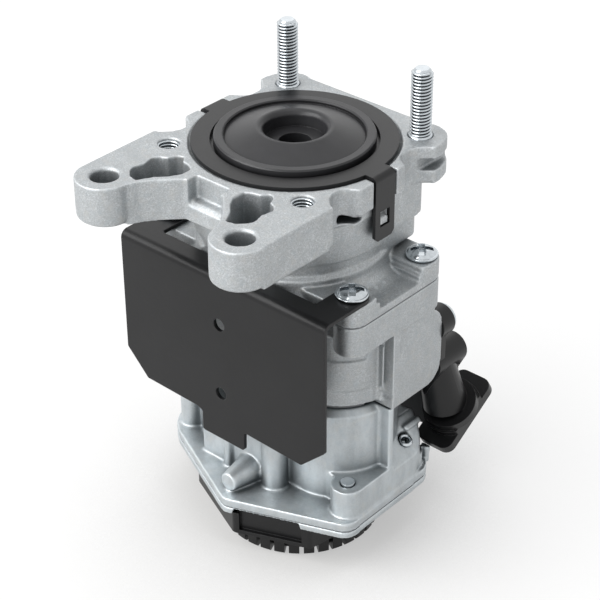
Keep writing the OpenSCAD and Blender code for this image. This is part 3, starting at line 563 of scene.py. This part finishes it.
def thread(name, wall, crest, pitch, turns, place):
    """Helical ridge on a wall radius, closed at both ends, its first turn starting at place."""
    pick()
    bpy.ops.mesh.primitive_plane_add(size=1)
    obj = bpy.context.object
    obj.name = name
    foot = pitch * 0.49
    land = pitch * 0.07
    profile = [(wall, -foot), (crest, -land), (crest, land), (wall, foot)]
    for vertex, (r, z) in zip([obj.data.vertices[i] for i in (0, 1, 3, 2)], profile):
        vertex.co = Vector((r, 0.0, z))
    with editing():
        bpy.ops.mesh.delete(type="ONLY_FACE")
    shape(obj, "SCREW", axis="Z", angle=math.tau, screw_offset=pitch, iterations=turns, steps=28,
          render_steps=28, use_merge_vertices=False)
    with editing():
        bpy.ops.mesh.remove_doubles(threshold=1e-7)
        bpy.ops.mesh.select_all(action="DESELECT")
        bpy.ops.mesh.select_mode(type="EDGE")
        bpy.ops.mesh.select_non_manifold()
        bpy.ops.mesh.fill_holes(sides=4)
        bpy.ops.mesh.select_all(action="SELECT")
        bpy.ops.mesh.normals_make_consistent(inside=False)
    obj.location = place
    return obj


def rod(name, radius, low, high, chamfer, place):
    """Upright rod with a chamfered upper end."""
    pick()
    bpy.ops.mesh.primitive_cylinder_add(vertices=48, radius=radius, depth=high - low,
                                        location=(place[0], place[1], (low + high) / 2))
    obj = bpy.context.object
    obj.name = name
    with editing("DESELECT"):
        bpy.ops.mesh.select_mode(type="FACE")
    for face in obj.data.polygons:
        face.select = face.normal.z > 0.9
    with editing(None):
        bpy.ops.mesh.bevel(offset=chamfer, segments=1, affect="EDGES")
    bpy.ops.object.shade_smooth_by_angle(angle=math.radians(30))
    return obj


def turned(name, profile, place):
    """Body of revolution from radius and height pairs that start and end on its axis."""
    pick()
    bpy.ops.mesh.primitive_circle_add(vertices=len(profile), radius=1)
    obj = bpy.context.object
    obj.name = name
    for vertex, (r, z) in zip(obj.data.vertices, profile):
        vertex.co = Vector((r, 0.0, z))
    with editing("DESELECT"):
        bpy.ops.mesh.select_mode(type="EDGE")
    for edge in obj.data.edges:
        edge.select = set(edge.vertices) == {0, len(profile) - 1}
    with editing(None):
        bpy.ops.mesh.delete(type="EDGE")
    shape(obj, "SCREW", axis="Z", angle=math.tau, steps=64, render_steps=64, use_merge_vertices=True,
          merge_threshold=MERGE)
    with editing():
        bpy.ops.mesh.remove_doubles(threshold=MERGE)
        bpy.ops.mesh.normals_make_consistent(inside=False)
    obj.location = place
    return obj


def block(low, high, top=1.0, tilt=(0.0, 0.0, 0.0)):
    """Block between two corners, its top scaled by a factor and the whole tilted round its centre."""
    pick()
    low, high = Vector(low), Vector(high)
    bpy.ops.mesh.primitive_cube_add(size=1, location=(low + high) / 2, rotation=tilt)
    obj = bpy.context.object
    size = high - low
    for vertex in obj.data.vertices:
        part = top if vertex.co.z > 0 else 1.0
        vertex.co = Vector((vertex.co.x * size.x * part, vertex.co.y * size.y * part, vertex.co.z * size.z))
    return obj


def carve(obj, *cutters):
    """Takes the cutters out of the object and removes them."""
    for cutter in cutters:
        pick(obj)
        shape(obj, "BOOLEAN", operation="DIFFERENCE", solver="EXACT", object=cutter)
        bpy.data.objects.remove(cutter)
    return obj


def moulded_skin(name, node, rounds, finish_name, cutters=()):
    """A carved copy of a packed casting, its corners and edges rounded by a few rounds of smoothing."""
    obj = carve(merged_copy(name, node), *cutters)
    shape(obj, "REMESH", mode="VOXEL", voxel_size=sizes().skin_voxel)
    shape(obj, "SMOOTH", factor=0.5, iterations=rounds)
    triangles = 2 * len(obj.data.polygons)
    if triangles > SKIN_TRIANGLES:
        shape(obj, "DECIMATE", ratio=SKIN_TRIANGLES / triangles)
    bpy.ops.object.shade_smooth()
    settle(obj, "housing", finish_name)
    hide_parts(node)
    return obj


def stud_reach():
    """How far the studs and the tapped holes stand from both middle lines."""
    low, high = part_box("mounting_studs")
    return (high.x - low.x) / 2 - (high.y - low.y) / 2


def lock_place():
    """Middle of the locking screw's face, a little below the shoulder's slope, and its radius."""
    low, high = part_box("locking_screw")
    reach = (high.y - low.y) / 2
    rise = reach * math.sin(math.radians(45))
    return Vector((high.x - rise - 0.0004, (low.y + high.y) / 2, high.z - rise - 0.0011)), reach


# Cutters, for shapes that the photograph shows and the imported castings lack

def tapped_hole(sign):
    """Widened bore for one tapped hole of the mounting face, with room for its thread."""
    centre = Vector((sign * stud_reach(), -stud_reach(), 0))
    point, top = TAP_FLOOR - 0.0015, 0.004
    return turned("hole", [(0, point), (TAP_BORE, TAP_FLOOR), (TAP_BORE, top), (0, top)], centre)


def box_hollow():
    """Sloping hollow in the outer face of the sensor box."""
    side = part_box("middle_housing")[1].x
    return block((side - 0.0001, 0.0004, -0.0725), (side + 0.0059, 0.0139, -0.0609),
                 tilt=(0, -0.259, -0.207))


def pilaster_cut():
    """Sets back the pilaster beside the sensor box."""
    return block((0.04237, -0.00978, -0.094), (0.04837, -0.00478, -0.0606), tilt=(0, 0, math.radians(-17)))


def stub_cut():
    """Shortens the stub at the lower housing's rear corner."""
    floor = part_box("lower_housing")[0].z
    return block((0.0392, 0.0259, floor - 0.001), (0.0462, 0.0285, floor + 0.0062))


def shoulder_pocket():
    """Pocket behind the short bar, above the locking screw."""
    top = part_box("lower_housing")[1].z
    screw_low, screw_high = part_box("locking_screw")
    return block((0.0285, 0.0005, screw_high.z + 0.0022), (screw_low.x - 0.0008, 0.027, top + 0.001))


def lock_seat():
    """Spot face that the locking screw lies in."""
    place, reach = lock_place()
    wall = reach + 0.0005
    seat = turned("seat", [(0, -0.001), (wall, -0.001), (wall, 0.008), (0, 0.008)], place)
    seat.rotation_euler = LOCK_TILT
    return seat


# Operators, one for each group of pieces

class VALVE_OT_finishes(bpy.types.Operator):
    """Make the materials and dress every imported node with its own"""

    bl_idname = "valve.finishes"
    bl_label = "Finishes"

    def execute(self, context):
        make_finishes()
        for finish_name, nodes in FINISH_OF.items():
            for node in nodes:
                dress(NODES[node], finish_name)
        bare = set(NODES) - {n for nodes in FINISH_OF.values() for n in nodes}
        if bare:
            raise RuntimeError("nodes with no finish: " + ", ".join(sorted(bare)))
        return {"FINISHED"}


class VALVE_OT_castings(bpy.types.Operator):
    """Round the edges and corners of the castings"""

    bl_idname = "valve.castings"
    bl_label = "Castings"

    def execute(self, context):
        moulded_skin("head_casting", "mounting_head", 6, "blasted_alloy",
                     [tapped_hole(-1), tapped_hole(1)])
        moulded_skin("middle_casting", "middle_housing", 5, "fine_alloy",
                     [box_hollow(), pilaster_cut()])
        moulded_skin("lower_casting", "lower_housing", 5, "bright_alloy",
                     [stub_cut(), shoulder_pocket(), lock_seat()])
        moulded_skin("cover_casting", "base_cover", 3, "bright_alloy")
        return {"FINISHED"}


class VALVE_OT_cover_skirt(bpy.types.Operator):
    """Hang the black skirt of the sensor cover behind the lower housing's shoulder"""

    bl_idname = "valve.cover_skirt"
    bl_label = "Cover skirt"

    def execute(self, context):
        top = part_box("lower_housing")[1].z
        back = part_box("middle_housing")[1].y
        skirt = block(*((SKIRT_X[i], back + SKIRT_Y[i], top + SKIRT_Z[i]) for i in (0, 1)))
        skirt.name = "cover_skirt"
        with editing():
            bpy.ops.mesh.bevel(offset=SKIRT_ROUND, segments=4, affect="EDGES")
        bpy.ops.object.shade_smooth()
        settle(skirt, "housing", "black_plastic")
        return {"FINISHED"}


class VALVE_OT_studs(bpy.types.Operator):
    """Cut the threads of the two mounting studs"""

    bl_idname = "valve.studs"
    bl_label = "Stud threads"

    def execute(self, context):
        s = sizes()
        low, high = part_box("mounting_studs")
        shank = (high.y - low.y) / 2
        for side, x in (("left", low.x + shank), ("right", high.x - shank)):
            place = Vector((x, low.y + shank, 0.0))
            core = rod("stud_" + side, s.stud_root, low.z, high.z, 0.0007, place)
            collar = turned("collar", [(0, -0.003), (shank, -0.003), (shank, 0.0002), (s.stud_crest, 0.0006),
                                       (0, 0.0006)], place)
            turns = int((high.z + 0.002) / s.stud_pitch) - 1
            start = place + Vector((0, 0, high.z - 0.001 - turns * s.stud_pitch))
            ridge = thread("stud_thread_" + side, s.stud_root - 0.0001, s.stud_crest * 0.985, s.stud_pitch,
                           turns, start)
            settle(join(core, collar, ridge), "housing", "zinc_plate")
            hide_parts("mounting_studs")
        return {"FINISHED"}


class VALVE_OT_hole_threads(bpy.types.Operator):
    """Cut the threads that show in the two tapped holes of the mounting face"""

    bl_idname = "valve.hole_threads"
    bl_label = "Hole threads"

    def execute(self, context):
        reach = stud_reach()
        for side, sign in (("left", -1), ("right", 1)):
            ridge = thread("tapped_" + side, TAP_FOOT, TAP_CREST, sizes().stud_pitch, TAP_TURNS,
                           Vector((sign * reach, -reach, TAP_START)))
            settle(ridge, "housing", "zinc_plate")
        return {"FINISHED"}


# A pan head over its seat, from the rim to the dome's middle, and its cross recess
PAN_R = 0.006
PAN_RISE = 0.0034
PAN_HEAD = [(0.0052, 0), (0.0056, 0.0002), (0.006, 0.001), (0.006, 0.0013), (0.0058, 0.00155),
            (0.0054, 0.0016), (0.0051, 0.00195), (0.0046, 0.00245), (0.0038, 0.0029), (0.0028, 0.00322),
            (0.0014, 0.00338), (0, 0.0034)]
WING_LOW = (-0.0037, -0.001, 0.0008)
WING_HIGH = (0.0037, 0.001, 0.0044)
WING_FLARE = 1.25


def pan_screw(name, r, rise, shank, length):
    """Upright screw seated at the origin: shank, dished rim, dome and cross recess."""
    wide, tall = r / PAN_R, rise / PAN_RISE
    profile = [(0, -length), (shank, -length), (shank, 0)] + [(x * wide, z * tall) for x, z in PAN_HEAD]
    screw = turned(name, profile, (0, 0, 0))
    low, high = ((x * wide, y, z * tall) for x, y, z in (WING_LOW, WING_HIGH))
    turn = math.radians(CAMERA_TURN[0])
    carve(screw, *[block(low, high, WING_FLARE, (0, 0, turn + quarter)) for quarter in (0, math.pi / 2)])
    bpy.ops.object.shade_smooth_by_angle(angle=math.radians(28))
    return screw


class VALVE_OT_pan_screws(bpy.types.Operator):
    """Model the flange screws and the cover screws with their pan heads and cross recesses"""

    bl_idname = "valve.pan_screws"
    bl_label = "Pan-head screws"

    def execute(self, context):
        low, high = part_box("flange_screws")
        on_shield = high.z - PAN_RISE
        on_flange = on_shield - SHIELD_T
        for name, x, y, seat in (("front_right", high.x - PAN_R, low.y + PAN_R, on_shield),
                                 ("front_left", low.x + PAN_R, low.y + PAN_R, on_shield),
                                 ("back_right", high.x - PAN_R, high.y - PAN_R, on_flange),
                                 ("back_left", low.x + PAN_R, high.y - PAN_R, on_flange)):
            screw = pan_screw("flange_screw_" + name, PAN_R, PAN_RISE, 0.003, seat - low.z)
            screw.location = (x, y, seat)
            settle(screw, "housing", "zinc_plate")
            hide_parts("flange_screws")
        low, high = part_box("cover_screws")
        packed_r, packed_rise = 0.0052, 0.0032
        for name, x, z in (("upper", high.x - packed_r, high.z - packed_r),
                           ("lower", low.x + packed_r, low.z + packed_r)):
            screw = pan_screw("cover_screw_" + name, 0.0055, 0.0036, 0.002, 0.0142)
            screw.location = (x, high.y - packed_rise, z)
            screw.rotation_euler = (math.radians(-90), 0, 0)
            settle(screw, "housing", "zinc_plate")
            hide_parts("cover_screws")
        return {"FINISHED"}


class VALVE_OT_springs(bpy.types.Operator):
    """Copy the springs and hang each on the body it moves with"""

    bl_idname = "valve.springs"
    bl_label = "Springs"

    def execute(self, context):
        joints = frame["record"]["behaviour"]["joints"]
        stroke = {joint["name"]: joint["range_m"][1] for joint in joints}
        whole = stroke["plunger_slide"]
        for node, body, closing in (("plunger_spring", "housing", whole),
                                    ("control_spring", "upper_piston", whole - stroke["upper_piston_slide"]),
                                    ("upper_valve_spring", "housing", stroke["upper_valve_slide"]),
                                    ("relay_spring", "housing", stroke["relay_piston_slide"]),
                                    ("lower_valve_spring", "housing", stroke["lower_valve_slide"]),
                                    ("sensor_spring", "housing", stroke["sensor_slide"])):
            low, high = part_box(node)
            coil = merged_copy(node + "_coil", node)
            settle(coil, body, "wire_steel")
            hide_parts(node)
            length = high.z - low.z
            (length - closing) / length
            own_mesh(coil)
        return {"FINISHED"}


class VALVE_OT_locking_screw(bpy.types.Operator):
    """Model the small round screw that lies in the lower housing's shoulder"""

    bl_idname = "valve.locking_screw"
    bl_label = "Locking screw"

    def execute(self, context):
        face, reach = lock_place()
        profile = [(0, -0.004), (0.002, -0.004), (0.0024, -0.0012), (reach, -0.0008), (reach, -0.0004),
                   (reach - 0.0003, 0), (reach - 0.0008, 0.0001), (0.00175, -0.0001), (0.00155, -0.0005),
                   (0.00145, -0.003), (0, -0.0032)]
        screw = turned("locking_screw_head", profile, face)
        screw.rotation_euler = LOCK_TILT
        bpy.ops.object.shade_smooth_by_angle(angle=math.radians(40))
        settle(screw, "housing", "zinc_plate")
        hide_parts("locking_screw")
        return {"FINISHED"}


class VALVE_OT_studio(bpy.types.Operator):
    """Set up the floor, the lamps, the world and the camera"""

    bl_idname = "valve.studio"
    bl_label = "Studio"

    def execute(self, context):
        scene = context.scene
        self.floor()
        self.world(scene)
        for values in LAMPS:
            self.lamp(*values)
        self.camera(scene)
        scene.view_settings.view_transform = "Standard"
        return {"FINISHED"}

    def floor(self):
        """Pale paper that looks white, keeps the part's shadow, carries a painted contact shadow near the
        part and lights the part as plain paper does.
        """
        pick()
        bpy.ops.mesh.primitive_plane_add(size=sizes().floor_size, location=(0, 0, CAD_BOX[0][2]))
        obj = bpy.context.object
        obj.name = "floor"
        bpy.ops.object.transform_apply(location=True, rotation=True, scale=True)
        f = Finish("floor_paper")
        # painted contact shadow: the paper darkens where the part hides its sky
        painted_contact_shadow = f.ramp(f.open_sky(0.22), 0.98, 0.55)
        f.finish(Base_Color=f.tint(painted_contact_shadow, (0.9, 0.895, 0.885), (0.5, 0.49, 0.47)), Roughness=0.9,
                 Specular_IOR_Level=0.0)
        paper = Wire(f, f.shader.outputs[0])
        white = f.node("ShaderNodeEmission", {}, {"Color": (1, 1, 1, 1), "Strength": 1.15}, "Emission")
        # the white glow fades near the part, with the painted contact shadow
        shown = f.rays("Camera", "Glossy") * (0.82 - painted_contact_shadow * 0.42)
        surface = f.node("ShaderNodeMixShader", {}, {0: shown, 1: paper, 2: white}, "Shader")
        f.fill(f.tree.nodes["Material Output"], {"Surface": surface})
        obj.data.materials.append(f.material)

    def world(self, scene):
        """Soft light on the part, and plain white wherever the world itself shows."""
        world = scene.world or bpy.data.worlds.new("studio")
        scene.world = world
        world.use_nodes = True
        world.node_tree.nodes.clear()
        n = Nodes(world.node_tree)
        light = n.node("ShaderNodeBackground", {}, {"Color": (0.95, 0.97, 1.0, 1.0), "Strength": 0.27})
        white = n.node("ShaderNodeBackground", {}, {"Color": (1, 1, 1, 1)})
        shown = n.rays("Camera", "Transmission", "Glossy")
        surface = n.node("ShaderNodeMixShader", {}, {0: shown, 1: light, 2: white})
        n.fill(world.node_tree.nodes.new("ShaderNodeOutputWorld"), {"Surface": surface})

    def lamp(self, name, place, target, size, watts):
        """Square area lamp that faces its target."""
        data = bpy.data.lights.new(name, "AREA")
        data.shape = "SQUARE"
        data.size = size
        data.energy = watts
        obj = bpy.data.objects.new(name, data)
        bpy.context.scene.collection.objects.link(obj)
        obj.location = place
        obj.rotation_euler = (Vector(target) - Vector(place)).to_track_quat("-Z", "Y").to_euler()

    def camera(self, scene):
        """The photograph's viewpoint."""
        azimuth, elevation, roll = (math.radians(v) for v in CAMERA_TURN)
        back = Vector((math.sin(azimuth) * math.cos(elevation), -math.cos(azimuth) * math.cos(elevation),
                       math.sin(elevation)))
        right = Vector((math.cos(azimuth), math.sin(azimuth), 0.0))
        up = back.cross(right)
        x = right * math.cos(roll) + up * math.sin(roll)
        y = up * math.cos(roll) - right * math.sin(roll)
        data = bpy.data.cameras.new("camera")
        data.sensor_width = SENSOR_WIDTH
        data.lens = SENSOR_WIDTH * CAMERA_FOCAL
        obj = bpy.data.objects.new("camera", data)
        scene.collection.objects.link(obj)
        obj.matrix_world = Matrix.Translation(CAMERA_PLACE) @ Matrix((x, y, back)).transposed().to_4x4()
        scene.camera = obj


class VALVE_PT_panel(bpy.types.Panel):
    """Lists the pieces of the look in the sidebar"""

    bl_idname = "VALVE_PT_panel"
    bl_label = "Foot brake valve"
    bl_space_type = "VIEW_3D"
    bl_region_type = "UI"
    bl_category = "Valve"

    def draw(self, context):
        for operator in OPERATORS:
            self.layout.operator(operator.bl_idname)
        for group in (context.scene.valve_sizes, context.scene.valve_colours):
            for key in group.bl_rna.properties.keys():
                if key not in ("rna_type", "name"):
                    self.layout.prop(group, key)


OPERATORS = [VALVE_OT_finishes, VALVE_OT_castings, VALVE_OT_cover_skirt, VALVE_OT_studs,
             VALVE_OT_hole_threads, VALVE_OT_pan_screws, VALVE_OT_locking_screw, VALVE_OT_springs,
             VALVE_OT_studio]
CLASSES = [ValveSizes, ValveColours, *OPERATORS, VALVE_PT_panel]


def register():
    """Registers the classes and hangs both groups of values on the scene."""
    for cls in CLASSES:
        bpy.utils.register_class(cls)
    bpy.types.Scene.valve_sizes = bpy.props.PointerProperty(type=ValveSizes)
    bpy.types.Scene.valve_colours = bpy.props.PointerProperty(type=ValveColours)


def unregister():
    """Takes away what register added."""
    del bpy.types.Scene.valve_sizes
    del bpy.types.Scene.valve_colours
    for cls in reversed(CLASSES):
        bpy.utils.unregister_class(cls)


def main():
    """Builds the whole look, piece by piece."""
    register()
    bpy.ops.valve.finishes()
    bpy.ops.valve.castings()
    bpy.ops.valve.cover_skirt()
    bpy.ops.valve.studs()
    bpy.ops.valve.hole_threads()
    bpy.ops.valve.pan_screws()
    bpy.ops.valve.locking_screw()
    bpy.ops.valve.springs()
    bpy.ops.valve.studio()


if __name__ == "__main__":
    main()
